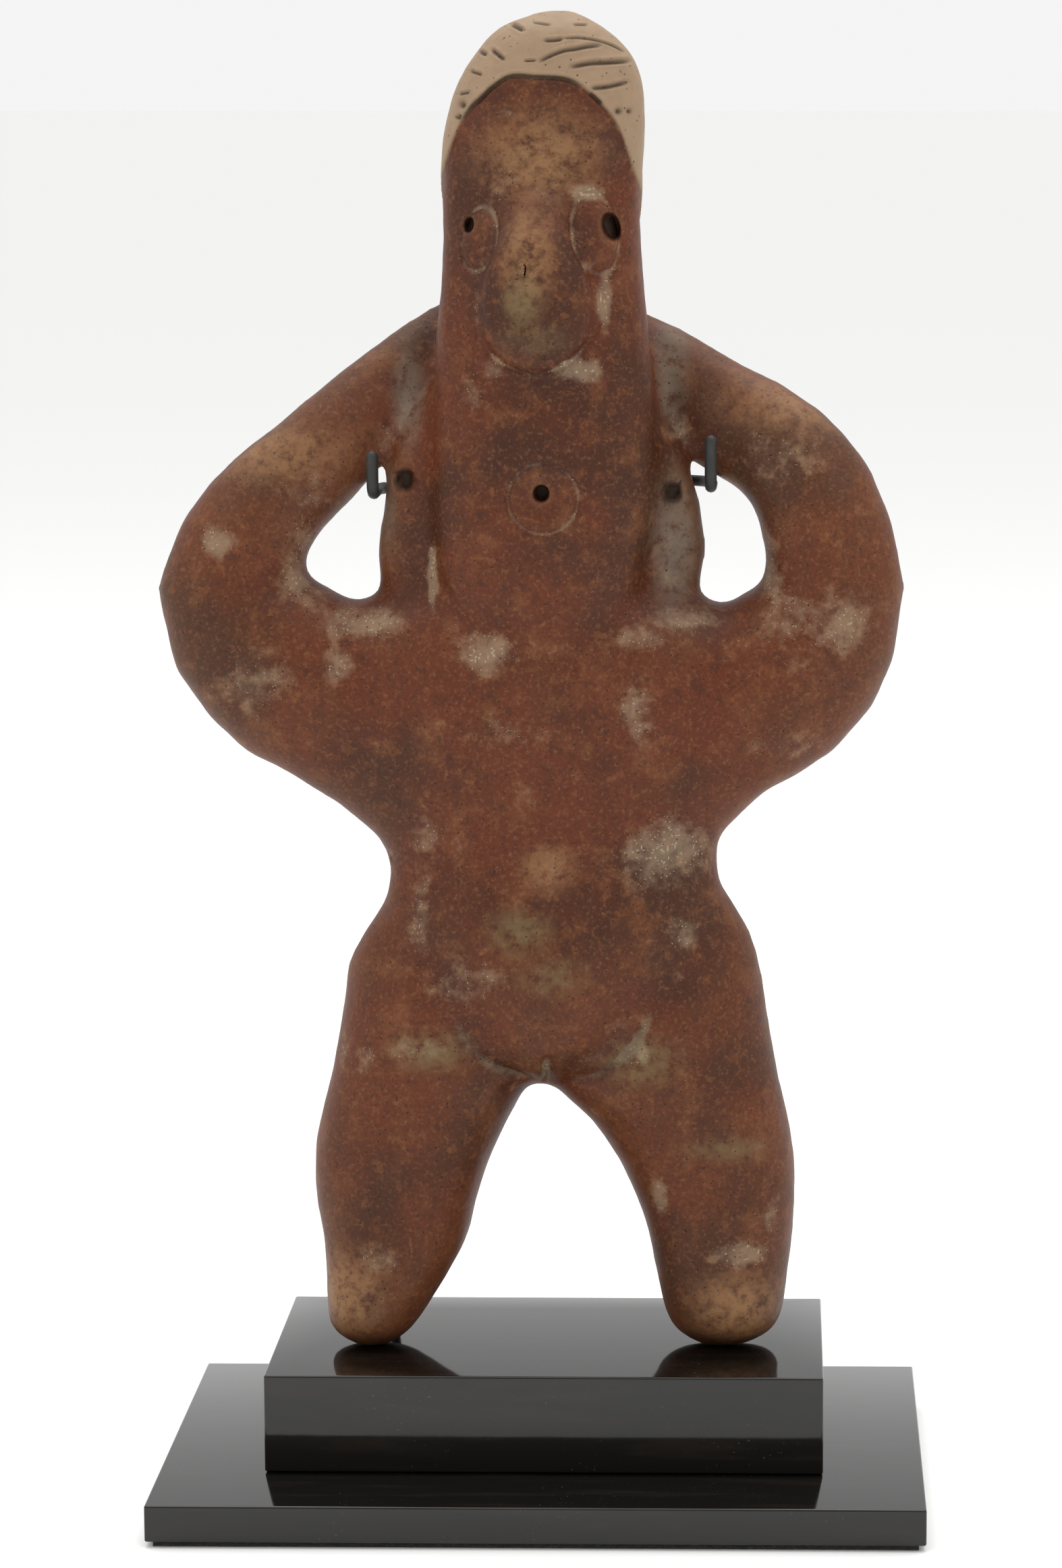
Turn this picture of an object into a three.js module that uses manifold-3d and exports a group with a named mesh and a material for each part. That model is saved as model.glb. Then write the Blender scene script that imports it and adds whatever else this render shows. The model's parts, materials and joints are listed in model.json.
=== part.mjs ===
// A red clay standing figure, hands behind its head, held by two hooked rods on a two-step black base.
// Millimetres, +Z up, the figure faces -Y, origin in the middle of the base's underside.
import * as THREE from 'three';
import { mergeVertices } from 'three/addons/utils/BufferGeometryUtils.js';
import Module from 'manifold-3d';

const wasm = await Module();
wasm.setup();
const weldDistance = 1e-5;

// Gap between pieces that touch
const gap = 0.3;

// Base: a felt sheet, a wide slab and a smaller, taller slab a little behind its middle
const felt = { width: 169, depth: 113, height: 1.1, chamfer: 0.3 };
const lower = { width: 172, depth: 116, height: 8.3, chamfer: 0.6 };
const upper = { width: 125.5, depth: 69.5, height: 22.3, chamfer: 0.5, x: 0.7, y: 1.7 };
const lowerBottom = felt.height + gap;
const upperBottom = lowerBottom + lower.height + gap;
const baseTop = upperBottom + upper.height;

// Figure: soles just over the base, crown 302 mm above them
const soleZ = baseTop + gap;
const crownZ = soleZ + 302;

// Rods that hold the figure: they rise behind the legs and hook under the forearms
const rod = {
  radius: 1.35, sides: 8, bend: 4, bendSteps: 5, depthInBase: 10, socketRadius: 1.72, socketSides: 16,
  y: 23.6, footRise: 14, shoulderY: 18.6, shoulderDrop: 10.6, shoulderDepth: 4, crossingY: 9, hookY: -8.6,
};
const rods = [
  { name: 'mount_rod_left', footX: -37.5, shoulderX: -28, hookX: -37.6, hookZ: 228, tipZ: 237.8 },
  { name: 'mount_rod_right', footX: 41, shoulderX: 28, hookX: 37.8, hookZ: 229.6, tipZ: 241.4 },
];

// Sides of the round carved forms
const pelletSides = 12;
const pitSides = 10;
const lineSides = 6;

// Colours
const clay = { color: 0x8a4a33, roughness: 0.55 };
const blackLacquer = { color: 0x1b1917, roughness: 0.12 };
const feltBlack = { color: 0x0d0d0d, roughness: 0.95 };
const darkMetal = { color: 0x1c1a18, roughness: 0.5, metalness: 0.6 };

// A closed geometry as a solid
function solidOf(geometry) {
  geometry.deleteAttribute('normal');
  geometry.deleteAttribute('uv');
  const merged = mergeVertices(geometry, weldDistance);
  const mesh = new wasm.Mesh({
    numProp: 3,
    vertProperties: new Float32Array(merged.attributes.position.array),
    triVerts: new Uint32Array(merged.index.array),
  });
  return new wasm.Manifold(mesh);
}

// A solid as a geometry again
function geometryOf(solid) {
  const mesh = solid.getMesh();
  const geometry = new THREE.BufferGeometry();
  geometry.setAttribute('position', new THREE.BufferAttribute(mesh.vertProperties.slice(), 3));
  geometry.setIndex(new THREE.BufferAttribute(mesh.triVerts.slice(), 1));
  geometry.computeVertexNormals();
  return geometry;
}

const joined = (solids) => solids.reduce((sum, solid) => sum.add(solid));
const cutBy = (solid, tools) => tools.reduce((rest, tool) => rest.subtract(tool), solid);

// Squared-off circle: power 2 is an ellipse, higher powers are boxier
const rounded = (value, power) => Math.sign(value) * Math.abs(value) ** (2 / power);

// A closed tube whose section is given along its length, from an upright cylinder
function tube(sectionAt, sides, rings) {
  const geometry = new THREE.CylinderGeometry(1, 1, 1, sides, rings);
  const position = geometry.attributes.position;
  const point = new THREE.Vector3();
  for (let i = 0; i < position.count; i += 1) {
    point.fromBufferAttribute(position, i);
    const section = sectionAt(point.y + 0.5);
    const place = section.centre.clone();
    place.addScaledVector(section.across, section.halfWidth * rounded(point.x, section.power));
    place.addScaledVector(section.front, section.halfDepth * rounded(point.z, section.power));
    position.setXYZ(i, place.x, place.y, place.z);
  }
  return geometry;
}

const front = new THREE.Vector3(0, -1, 0);
const right = new THREE.Vector3(1, 0, 0);

// Rings crowd towards both ends, where a tube rounds off
const crowded = (t) => (t + (1 - Math.cos(Math.PI * t)) / 2) / 2;

// How far across a form its front is followed before the side turns away
const edgeReach = 0.98;

// Upright form from level sections [z, left, right, front, back, power]
function column(levels) {
  const heights = levels.map((level) => level[0]);
  const sizes = levels.flatMap((level) => level.slice(1));
  const curve = new THREE.CubicInterpolant(heights, sizes, 5);
  const lowest = heights[0];
  const highest = heights.at(-1);
  const at = (z) => {
    const [left, rightSide, frontY, backY, power] = curve.evaluate(z);
    const middle = { x: (left + rightSide) / 2, y: (frontY + backY) / 2 };
    return { ...middle, halfWidth: (rightSide - left) / 2, halfDepth: (backY - frontY) / 2, power };
  };
  const sectionAt = (t) => {
    const z = lowest + (highest - lowest) * crowded(t);
    const level = at(z);
    return { ...level, centre: new THREE.Vector3(level.x, level.y, z), across: right, front };
  };
  const frontAt = (x, z) => {
    const level = at(THREE.MathUtils.clamp(z, lowest, highest));
    const reach = Math.min(Math.abs((x - level.x) / level.halfWidth), edgeReach);
    return level.y - level.halfDepth * (1 - reach ** level.power) ** (1 / level.power);
  };
  return { sectionAt, frontAt };
}

// Limb along stations [x, y, z, half width across it, half depth], its sections square to its run
function limb(stations, power) {
  const places = stations.map((s) => new THREE.Vector3(s[0], s[1], s[2]));
  const run = new THREE.CatmullRomCurve3(places, false, 'centripetal');
  const steps = stations.map((s, i) => i / (stations.length - 1));
  const thickness = new THREE.CubicInterpolant(steps, stations.flatMap((s) => s.slice(3)), 2);
  return (u) => {
    const along = run.getTangent(u);
    const across = along.clone().cross(front).normalize();
    const [halfWidth, halfDepth] = thickness.evaluate(u);
    const squareFront = across.clone().cross(along).normalize();
    return { centre: run.getPoint(u), across, front: squareFront, halfWidth, halfDepth, power };
  };
}

// Head: a long flat tongue with a domed crown, its root sunk in the chest
const headForm = column([
  [174, -15, 14, -8, 8, 2.2],
  [188, -19, 17.6, -14.6, 11, 2.3],
  [200, -22.4, 21.2, -17.4, 12, 2.6],
  [212, -24.2, 23.2, -18.8, 12, 3.0],
  [228, -24.7, 25.5, -19.4, 10.5, 3.2],
  [248, -23.9, 25.3, -18.4, 10, 3.1],
  [264, -23.2, 23.9, -17.3, 10.5, 3.0],
  [284, -21.6, 22.0, -15.8, 10.5, 2.9],
  [302, -21.6, 22.4, -14.2, 10.5, 2.8],
  [314, -19.7, 22.5, -12.6, 10, 2.6],
  [323.7, -15.1, 20.7, -10.4, 9, 2.4],
  [329.5, -10, 15.4, -8.2, 7.6, 2.2],
  [crownZ - 1.6, -5.2, 10.4, -5.4, 5.4, 2],
  [crownZ, 1.2, 6.2, -1.6, 2.2, 2],
]);

// Body: pubic curve, belly, waist and chest up to the shoulders
const bodyForm = column([
  [93.8, -3.4, 1.6, -7, 5, 2],
  [96, -10.4, 8.4, -13, 10, 2.1],
  [101, -17, 17.4, -17, 13.4, 2.1],
  [109, -25, 27.6, -19, 15.4, 2],
  [119, -36, 39.4, -19.2, 15.8, 2],
  [130, -38, 42.6, -18, 14.8, 2.2],
  [141.5, -34.4, 39.3, -16.4, 13.6, 2.4],
  [150, -37.6, 39.6, -16, 13.8, 2.2],
  [156, -44.6, 45, -16.2, 14, 2.1],
  [162, -55, 53, -16.4, 14.4, 2],
  [170, -62, 59, -16.8, 15, 2],
  [182, -64, 61, -17.2, 15.4, 2],
  [193, -60, 56, -16.8, 14.6, 2],
  [200.4, -50, 46, -15.2, 13, 2],
  [206, -34, 32, -10.4, 9, 2],
]);

// Legs: short, footless and thick, tops buried in the belly, soles rounded
const leftLegForm = column([
  [soleZ, -43.6, -35.6, -9.6, -2.6, 2],
  [soleZ + 1.3, -47.6, -32.6, -14, 3.4, 2.1],
  [soleZ + 4.6, -49.6, -29.8, -16.2, 8.4, 2.3],
  [46.6, -50.4, -23.6, -16.2, 12, 2.4],
  [56, -51.2, -18.2, -15.6, 14.2, 2.4],
  [70.5, -53.4, -14.7, -15.6, 16, 2.4],
  [84.8, -51.8, -8.4, -16, 19, 2.4],
  [91, -50.2, -4, -16.4, 20.2, 2.3],
  [98, -48.6, -1.6, -16.4, 20.6, 2.2],
  [110, -46.4, 0, -15.8, 19.4, 2.1],
  [121, -45, -2, -14, 16.4, 2.1],
  [131, -38.8, -5, -11.4, 13, 2.1],
  [145, -30, -10, -6, 7, 2],
]);
const rightLegForm = column([
  [soleZ, 35.4, 46, -8.2, -1.4, 2],
  [soleZ + 1.3, 31.6, 50, -12.6, 4, 2.1],
  [soleZ + 4.6, 28.6, 53.2, -15, 8.8, 2.3],
  [46.6, 25.7, 55.1, -15.8, 12.2, 2.4],
  [56, 23.8, 56.5, -15.6, 14.2, 2.4],
  [70.5, 18.9, 57.3, -15.6, 16, 2.4],
  [84.8, 9.8, 55.5, -16, 19, 2.4],
  [91, 1, 54, -16.4, 20.2, 2.3],
  [98, -1, 52.4, -16.4, 20.6, 2.2],
  [110, -1, 50.4, -15.8, 19.4, 2.1],
  [121, 2, 48.8, -14, 16.4, 2.1],
  [131, 8, 45, -11.4, 13, 2.1],
  [145, 14, 35, -6, 7, 2],
]);

// Arms: out from the chest, round the elbow and back to the hand behind the head
const leftArm = limb([
  [-22, -0.4, 174, 15, 10.6],
  [-34, -0.2, 176.6, 19, 13],
  [-46, 0.2, 181.5, 20.4, 14],
  [-59, 0.8, 188.6, 20.8, 14],
  [-70.4, 1.6, 203.5, 17.3, 13.2],
  [-64.2, 2.6, 222, 13.6, 12],
  [-52, 4.6, 234, 11.7, 10.8],
  [-37.8, 8, 247.2, 10.9, 8.8],
  [-23.8, 12, 259.4, 9, 6.6],
  [-15, 13.6, 265.6, 7.6, 4.6],
  [-7, 14, 267.4, 7.4, 3.8],
  [-2, 14, 268.2, 3.4, 1.8],
], 2.2);
const rightArm = limb([
  [20, -0.4, 173, 15, 10.6],
  [32, -0.2, 175.6, 19, 13],
  [43.5, 0.2, 180.4, 21, 14],
  [56, 0.8, 188.6, 20.6, 14],
  [65.4, 1.6, 204.5, 16.2, 13.2],
  [61.4, 2.6, 226, 14.2, 12],
  [52.8, 4.6, 237.4, 12.7, 10.8],
  [39.6, 8, 245, 12.4, 9],
  [26.6, 11.4, 255.6, 9.4, 7],
  [17, 13.6, 261.6, 7.6, 4.6],
  [8.6, 14, 263, 7.4, 3.8],
  [3.4, 14, 263.4, 3.4, 1.8],
], 2.2);

// Ears: upright flaps beside the head, pierced near the top
const leftEar = column([
  [198, -34, -20, -3.6, 6.4, 2.2],
  [206, -36.6, -18, -6.4, 7, 2.4],
  [216, -37.4, -18, -7.6, 7, 2.4],
  [224, -35.9, -18, -8, 6.6, 2.4],
  [231, -35.6, -18, -8, 6.2, 2.4],
  [238, -33.6, -18, -7.4, 5.6, 2.3],
  [245, -29.4, -18, -6, 4.6, 2.2],
  [251, -24.6, -18, -3, 2, 2],
]);
const rightEar = column([
  [198, 20, 32.6, -1.6, 6.4, 2.2],
  [205, 18, 35, -4, 7, 2.4],
  [216, 18, 36.7, -5, 7, 2.4],
  [225, 18, 35.4, -6.6, 7, 2.4],
  [233, 18, 33, -7, 6.6, 2.4],
  [240, 18, 29.6, -6, 5.6, 2.3],
  [245, 18, 26.6, -4.4, 4.4, 2.2],
  [249, 18, 22, -2, 2, 2],
]);

// Nose: a broad drop standing proud of the face, its narrow top in the brow
const noseForm = column([
  [255.8, -4.6, 2.6, -18.2, -12, 2],
  [258, -9.6, 7.8, -19.6, -11, 2.1],
  [263.4, -13, 11.6, -21, -10, 2.3],
  [271, -13.8, 12.2, -21.8, -9, 2.2],
  [279, -12.2, 10.6, -22, -9, 2],
  [286, -9.6, 8.4, -21, -9, 2],
  [292, -7.4, 6.6, -18.2, -9, 2],
  [299, -5, 5.2, -14.4, -9, 2],
]);

// How much of a pressed line is left at its very ends
const lineEndShare = 0.1;

// Line pressed into a front surface through points [x, z], fading out at its ends
function scoreLine(points, surfaceAt, halfWidth, depth, steps) {
  const places = points.map(([x, z]) => new THREE.Vector3(x, surfaceAt(x, z), z));
  const run = new THREE.CatmullRomCurve3(places, false, 'centripetal');
  const sectionAt = (t) => {
    const centre = run.getPoint(t);
    centre.y = surfaceAt(centre.x, centre.z);
    const along = run.getTangent(t).setY(0).normalize();
    const across = along.clone().cross(front);
    const fade = Math.sqrt(Math.max(1 - (2 * t - 1) ** 6, lineEndShare));
    return { centre, across, front, halfWidth: halfWidth * fade, halfDepth: depth * fade, power: 2 };
  };
  return solidOf(tube(sectionAt, lineSides, steps));
}

// Round pit driven in from the front, narrowing as it goes, turned by a tilt in the face
function pit({ x, z, surfaceY, halfWidth, halfHeight, depth, tilt = 0 }) {
  const geometry = new THREE.CylinderGeometry(0.7, 1.2, depth * 2, pitSides);
  geometry.scale(halfWidth, 1, halfHeight);
  geometry.rotateY(tilt);
  geometry.translate(x, surfaceY, z);
  return solidOf(geometry);
}

// Ball stretched to three half sizes, turned by a tilt in the face
function pellet({ x, y, z, halfX, halfY, halfZ, tilt = 0 }) {
  const geometry = new THREE.SphereGeometry(1, pelletSides, pelletSides / 2);
  geometry.rotateX(Math.PI / 2);
  geometry.scale(halfX, halfY, halfZ);
  geometry.rotateY(tilt);
  geometry.translate(x, y, z);
  return solidOf(geometry);
}

// Eyes: clay pellets pressed on beside the nose, each pricked
const eyes = [
  { x: -13.2, z: 284.8, halfX: 3.9, halfY: 2.6, halfZ: 6.4, proud: 0.4, tilt: 0.2 },
  { x: 12.8, z: 286.2, halfX: 4.7, halfY: 3.4, halfZ: 8, proud: 0.6, tilt: -0.2 },
];
const socketLift = 0.6;
const eyeSockets = [
  { x: -14.2, z: 286, halfX: 5.6, halfY: 1.5, halfZ: 8 },
  { x: 13.4, z: 286.8, halfX: 6.8, halfY: 1.6, halfZ: 10 },
];
const eyePits = [
  { x: -15.2, z: 287.8, halfWidth: 1.2, halfHeight: 1.8, depth: 5, tilt: 0.2 },
  { x: 15.7, z: 287.6, halfWidth: 1.8, halfHeight: 3.1, depth: 7, tilt: -0.28 },
];

// Mouth: a pressed ring round a small deep hole
const mouth = {
  x: 0.9, z: 228, ringRadius: 7.7, grooveRadius: 0.9,
  pitX: 0.5, pitZ: 229.2, pitRadius: 1.7, pitDepth: 7,
};

// Ear piercings
const earPits = [
  { x: -30.6, z: 231.2, surfaceY: -7.6, halfWidth: 2.3, halfHeight: 2.5, depth: 4.5 },
  { x: 29, z: 228.4, surfaceY: -6.6, halfWidth: 2.2, halfHeight: 2.6, depth: 4.5 },
];

// Hair: the hairline and the longer strokes of the cap, as points [x, z] on the front of the head
const hairline = [[-18.8, 308], [-14.6, 314.2], [-9.8, 317.8], [-4.4, 320.2], [3.4, 320], [9.4, 317.8]];
const hairStrokes = [
  [[11.2, 316.8], [15, 313.8]],
  [[7.7, 322.4], [13, 322.9], [19.4, 323.4]],
  [[11.5, 317.6], [19.4, 319]],
  [[-0.6, 323.4], [5, 325.4], [13, 327]],
  [[0.9, 327.8], [4.9, 328.2]],
  [[-12, 325.2], [-7.6, 323.6]],
  [[-6, 331], [-3.4, 330]],
  [[-17.6, 315.4], [-15, 317.2]],
];

// Groin lines, one each side, and the short cleft between them
const groinLines = [
  [[-19.6, 109.5], [-15.4, 102], [-9.6, 97.4], [-3.2, 95.6]],
  [[24, 110], [19.6, 102.6], [13, 97], [6, 95.2]],
];
const cleft = [[1.3, 101.6], [1.2, 98.6], [1, 94.6]];

function mouthRing() {
  const groove = new THREE.TorusGeometry(mouth.ringRadius, mouth.grooveRadius, 6, 22);
  groove.rotateX(Math.PI / 2);
  groove.translate(mouth.x, headForm.frontAt(mouth.x, mouth.z) - 0.1, mouth.z);
  return solidOf(groove);
}

// Half widths, depths and lengths in steps of the lines pressed in the clay
const hairCut = { halfWidth: 0.55, depth: 1, stepsPerPoint: 1.5 };
const groinCut = { halfWidth: 0.9, depth: 1.2, stepsPerPoint: 1.75 };
const cleftCut = { halfWidth: 0.8, depth: 1.8, stepsPerPoint: 1 };

function carvedLine(points, surfaceAt, { halfWidth, depth, stepsPerPoint }) {
  return scoreLine(points, surfaceAt, halfWidth, depth, Math.round(points.length * stepsPerPoint));
}

function carvedLines() {
  const lowerForms = [bodyForm, leftLegForm, rightLegForm];
  const onBelly = (x, z) => Math.min(...lowerForms.map((form) => form.frontAt(x, z)));
  return [
    ...[hairline, ...hairStrokes].map((points) => carvedLine(points, headForm.frontAt, hairCut)),
    ...groinLines.map((points) => carvedLine(points, onBelly, groinCut)),
    carvedLine(cleft, onBelly, cleftCut),
  ];
}

function figure() {
  const head = [tube(headForm.sectionAt, 30, 25), tube(noseForm.sectionAt, 14, 8)].map(solidOf);
  const limbs = [
    tube(bodyForm.sectionAt, 32, 20),
    tube(leftLegForm.sectionAt, 20, 15),
    tube(rightLegForm.sectionAt, 20, 15),
    tube(leftArm, 16, 24),
    tube(rightArm, 16, 24),
    tube(leftEar.sectionAt, 12, 8),
    tube(rightEar.sectionAt, 12, 8),
  ].map(solidOf);
  const faceAt = headForm.frontAt;
  const sockets = eyeSockets.map((socket) => {
    const middle = faceAt(socket.x, socket.z) - socketLift;
    return pellet({ ...socket, y: middle });
  });
  const pellets = eyes.map((eye) => {
    const middle = faceAt(eye.x, eye.z) + eye.halfY - eye.proud - socketLift;
    return pellet({ ...eye, y: middle });
  });
  const eyeHoles = eyePits.map((hole) => pit({ ...hole, surfaceY: faceAt(hole.x, hole.z) }));
  const mouthHole = pit({
    x: mouth.pitX, z: mouth.pitZ, surfaceY: faceAt(mouth.x, mouth.z), halfWidth: mouth.pitRadius,
    halfHeight: mouth.pitRadius, depth: mouth.pitDepth,
  });
  const face = joined([cutBy(joined(head), sockets), ...pellets]);
  const whole = joined([face, ...limbs]);
  return cutBy(whole, [...eyeHoles, mouthHole, mouthRing(), ...earPits.map(pit), ...carvedLines()]);
}

// A board lying flat, its top and bottom edges chamfered
function board({ width, depth, height, chamfer }) {
  const outline = new THREE.Shape();
  const x = width / 2;
  const y = depth / 2;
  outline.moveTo(-x + chamfer, -y);
  outline.lineTo(x - chamfer, -y);
  outline.lineTo(x, -y + chamfer);
  outline.lineTo(x, y - chamfer);
  outline.lineTo(x - chamfer, y);
  outline.lineTo(-x + chamfer, y);
  outline.lineTo(-x, y - chamfer);
  outline.lineTo(-x, -y + chamfer);
  const geometry = new THREE.ExtrudeGeometry(outline, {
    depth: height - 2 * chamfer, steps: 1, bevelEnabled: true, bevelSegments: 1, bevelThickness: chamfer,
    bevelSize: chamfer, bevelOffset: -chamfer,
  });
  geometry.translate(0, 0, chamfer);
  return geometry;
}

// Round bar through corner points, each corner turned in an even bend
function bentBar(corners, bendLength, radius) {
  const stations = [corners[0]];
  for (let i = 1; i < corners.length - 1; i += 1) {
    const corner = corners[i];
    const [before, after] = [corners[i - 1], corners[i + 1]].map((next) => (
      corner.clone().lerp(next, bendLength / corner.distanceTo(next))
    ));
    stations.push(...new THREE.QuadraticBezierCurve3(before, corner, after).getPoints(rod.bendSteps));
  }
  stations.push(corners.at(-1));
  const heading = (i) => {
    const from = stations[Math.max(i - 1, 0)];
    const to = stations[Math.min(i + 1, stations.length - 1)];
    return to.clone().sub(from).normalize();
  };
  const frames = [{ along: heading(0), across: right.clone() }];
  for (let i = 1; i < stations.length; i += 1) {
    const turn = new THREE.Quaternion().setFromUnitVectors(frames[i - 1].along, heading(i));
    frames.push({ along: heading(i), across: frames[i - 1].across.clone().applyQuaternion(turn) });
  }
  const sectionAt = (t) => {
    const i = Math.round(t * (stations.length - 1));
    const { along, across } = frames[i];
    const facing = across.clone().cross(along);
    return { centre: stations[i], across, front: facing, halfWidth: radius, halfDepth: radius, power: 2 };
  };
  return tube(sectionAt, rod.sides, stations.length - 1);
}

// Corners of a rod's run on one side of the figure, from its socket in the base to the tip of its hook
function rodCorners({ footX, shoulderX, hookX, hookZ, tipZ }) {
  return [
    [footX, rod.y, baseTop - rod.depthInBase],
    [footX, rod.y, baseTop + rod.footRise],
    [shoulderX, rod.shoulderY, hookZ - rod.shoulderDrop],
    [shoulderX, rod.shoulderY - rod.shoulderDepth, hookZ],
    [hookX, rod.crossingY, hookZ],
    [hookX, rod.hookY, hookZ],
    [hookX, rod.hookY, tipZ],
  ].map((corner) => new THREE.Vector3(...corner));
}

function upperBoard() {
  const sockets = rods.map(({ footX }) => {
    const length = 2 * (rod.depthInBase + gap);
    const hole = new THREE.CylinderGeometry(rod.socketRadius, rod.socketRadius, length, rod.socketSides);
    hole.rotateX(Math.PI / 2);
    hole.translate(footX - upper.x, rod.y - upper.y, upper.height);
    return solidOf(hole);
  });
  return geometryOf(cutBy(solidOf(board(upper)), sockets));
}

function mesh(name, geometry, looks, x = 0, y = 0, z = 0) {
  const piece = new THREE.Mesh(geometry, new THREE.MeshStandardMaterial(looks));
  piece.name = name;
  piece.position.set(x, y, z);
  return piece;
}

const object = new THREE.Group();
object.add(mesh('figure', geometryOf(figure()), clay));
object.add(mesh('base_felt', board(felt), feltBlack));
object.add(mesh('base_lower', board(lower), blackLacquer, 0, 0, lowerBottom));
object.add(mesh('base_upper', upperBoard(), blackLacquer, upper.x, upper.y, upperBottom));
for (const side of rods) {
  object.add(mesh(side.name, bentBar(rodCorners(side), rod.bend, rod.radius), darkMetal));
}

export default object;
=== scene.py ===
"""A red clay standing figure on its two-step black base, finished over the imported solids.

Metres, +Z up, the figure faces -Y. The clay is worked in millimetres, in places [x, z] seen from the front.
"""
import json
import math

import bpy
import numpy as np
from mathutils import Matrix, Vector, noise
from mathutils.bvhtree import BVHTree

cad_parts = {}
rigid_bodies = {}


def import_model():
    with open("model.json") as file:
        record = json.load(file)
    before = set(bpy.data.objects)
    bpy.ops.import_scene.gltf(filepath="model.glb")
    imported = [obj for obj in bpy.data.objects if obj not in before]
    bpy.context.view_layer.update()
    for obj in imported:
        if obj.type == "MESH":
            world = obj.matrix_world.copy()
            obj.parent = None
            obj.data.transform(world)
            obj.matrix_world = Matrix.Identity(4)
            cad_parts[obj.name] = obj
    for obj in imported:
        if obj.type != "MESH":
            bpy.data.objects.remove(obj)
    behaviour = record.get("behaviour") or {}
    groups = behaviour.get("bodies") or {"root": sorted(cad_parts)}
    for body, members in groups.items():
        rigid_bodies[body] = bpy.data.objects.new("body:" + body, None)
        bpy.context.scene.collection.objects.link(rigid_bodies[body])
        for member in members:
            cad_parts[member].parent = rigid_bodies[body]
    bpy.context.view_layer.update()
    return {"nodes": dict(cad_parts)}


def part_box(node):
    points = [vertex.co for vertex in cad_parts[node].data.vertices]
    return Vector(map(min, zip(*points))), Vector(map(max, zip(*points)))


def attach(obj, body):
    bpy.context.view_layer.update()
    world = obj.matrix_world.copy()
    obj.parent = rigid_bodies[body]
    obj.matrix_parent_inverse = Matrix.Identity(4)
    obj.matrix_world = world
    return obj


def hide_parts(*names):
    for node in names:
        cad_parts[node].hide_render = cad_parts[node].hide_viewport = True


bl_info = {
    "name": "Clay figure on a black base",
    "version": (1, 0, 0),
    "blender": (4, 5, 0),
    "location": "3D View > Sidebar > Clay figure",
    "description": "Models and finishes a hand-built clay figure, the hooked rods that hold it and its base",
    "category": "Object",
}

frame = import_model()
MM = 0.001
BODY = "root"

# Camera: where the photograph was taken from, in metres and degrees
CAMERA_PLACE = (0.0544, -1.0519, 0.3209)
CAMERA_DOWN = 8.606
CAMERA_TURN = 1.0
CAMERA_LENS = 107.8
CAMERA_SHIFT = -0.11

# Eyes: pellets pressed on beside the nose, and the holes pricked in them
PELLETS = (
    {"at": (-13.2, 284.9), "half": (3.6, 6.5), "lean": 0.2, "proud": 0.7},
    {"at": (12.7, 286.1), "half": (4.5, 8.3), "lean": -0.2, "proud": 1.0},
)
EYE_HOLES = (
    {"at": (-15.3, 287.9), "half": (1.15, 1.75), "lean": 0.2, "depth": 3.4},
    {"at": (15.9, 287.6), "half": (1.95, 3.2), "lean": -0.29, "depth": 4.2},
)

# Mouth: a pressed ring round a shallow dish and a small deep hole
MOUTH_AT = (0.9, 228.0)
MOUTH_RING = 7.8
MOUTH_DISH = 4.9
MOUTH_HOLE = {"at": (0.5, 229.2), "half": (1.8, 1.9), "lean": 0.0, "depth": 4.5}

# Ears: pierced near the top
EAR_HOLES = (
    {"at": (-30.6, 231.2), "half": (2.4, 2.5), "lean": 0.0, "depth": 3.4},
    {"at": (29.0, 228.4), "half": (2.2, 2.6), "lean": 0.0, "depth": 3.4},
)

# Hair: the cap's lower edge on the front of the head, and the strokes cut in it
HAIRLINE = (
    (-24, 290), (-22.6, 296), (-20.4, 302), (-17.7, 309), (-14.9, 313.5), (-12.7, 315.6), (-9.8, 318.1),
    (-6, 320.2), (-0.9, 320.2), (5.6, 319.7), (9.3, 318.2), (13.8, 314.3), (17.6, 309), (20.6, 300), (24, 290),
)
HAIRLINE_CUTS = (
    ((-17.2, 310.4), (-14.9, 313.5), (-12.7, 315.4), (-9.8, 318.1), (-6, 320.3), (-0.9, 320.1), (5.6, 319.7),
     (9.3, 318.2)),
    ((11.2, 316.6), (13.8, 314.3)),
)
HAIR_STROKES = (
    (0.42, ((11.8, 317.7), (15.2, 318.0), (19.5, 319.0))),
    (0.45, ((7.2, 322.3), (11.3, 323.1), (15.2, 323.3), (19.9, 323.6))),
    (0.38, ((0.3, 323.5), (2.6, 324.7), (5.5, 325.8), (8.1, 326.2), (10.6, 326.7), (13.5, 327.0))),
    (0.34, ((1.3, 328.0), (3.6, 328.1), (5.2, 328.4))),
    (0.22, ((5.5, 328.5), (8.7, 328.6), (12.6, 328.1), (16.1, 327.0), (18.6, 325.6))),
    (0.2, ((7.6, 331.5), (10.6, 331.5))),
    (0.2, ((-1.4, 332.0), (2.4, 331.4))),
    (0.42, ((-6.4, 331.8), (-3.6, 330.3))),
    (0.4, ((-10.4, 326.0), (-7.6, 323.9))),
    (0.4, ((-13.6, 325.8), (-11.7, 325.0))),
    (0.3, ((-15.2, 321.4), (-12.6, 320.6))),
    (0.3, ((-17.6, 316.4), (-15.4, 316.8))),
    (0.25, ((-3.0, 323.6), (-0.6, 323.7))),
    (0.25, ((-18.6, 311.4), (-17.2, 311.0))),
)
HAIR_PITS = ((-17.0, 314.1, 0.8), (17.6, 312.7, 0.7), (19.9, 312.7, 0.5), (-17.6, 311.6, 0.5))

# Groin: a line each side and the short cleft between them
GROIN_LINES = (
    ((-19.6, 109.5), (-15.4, 102.6), (-9.6, 98.2), (-3.2, 96.2)),
    ((24, 110), (19.6, 102.9), (13, 97.6), (6, 95.6)),
)
CLEFT = ((1.3, 101.6), (1.2, 98.6), (1, 94.6))

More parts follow.
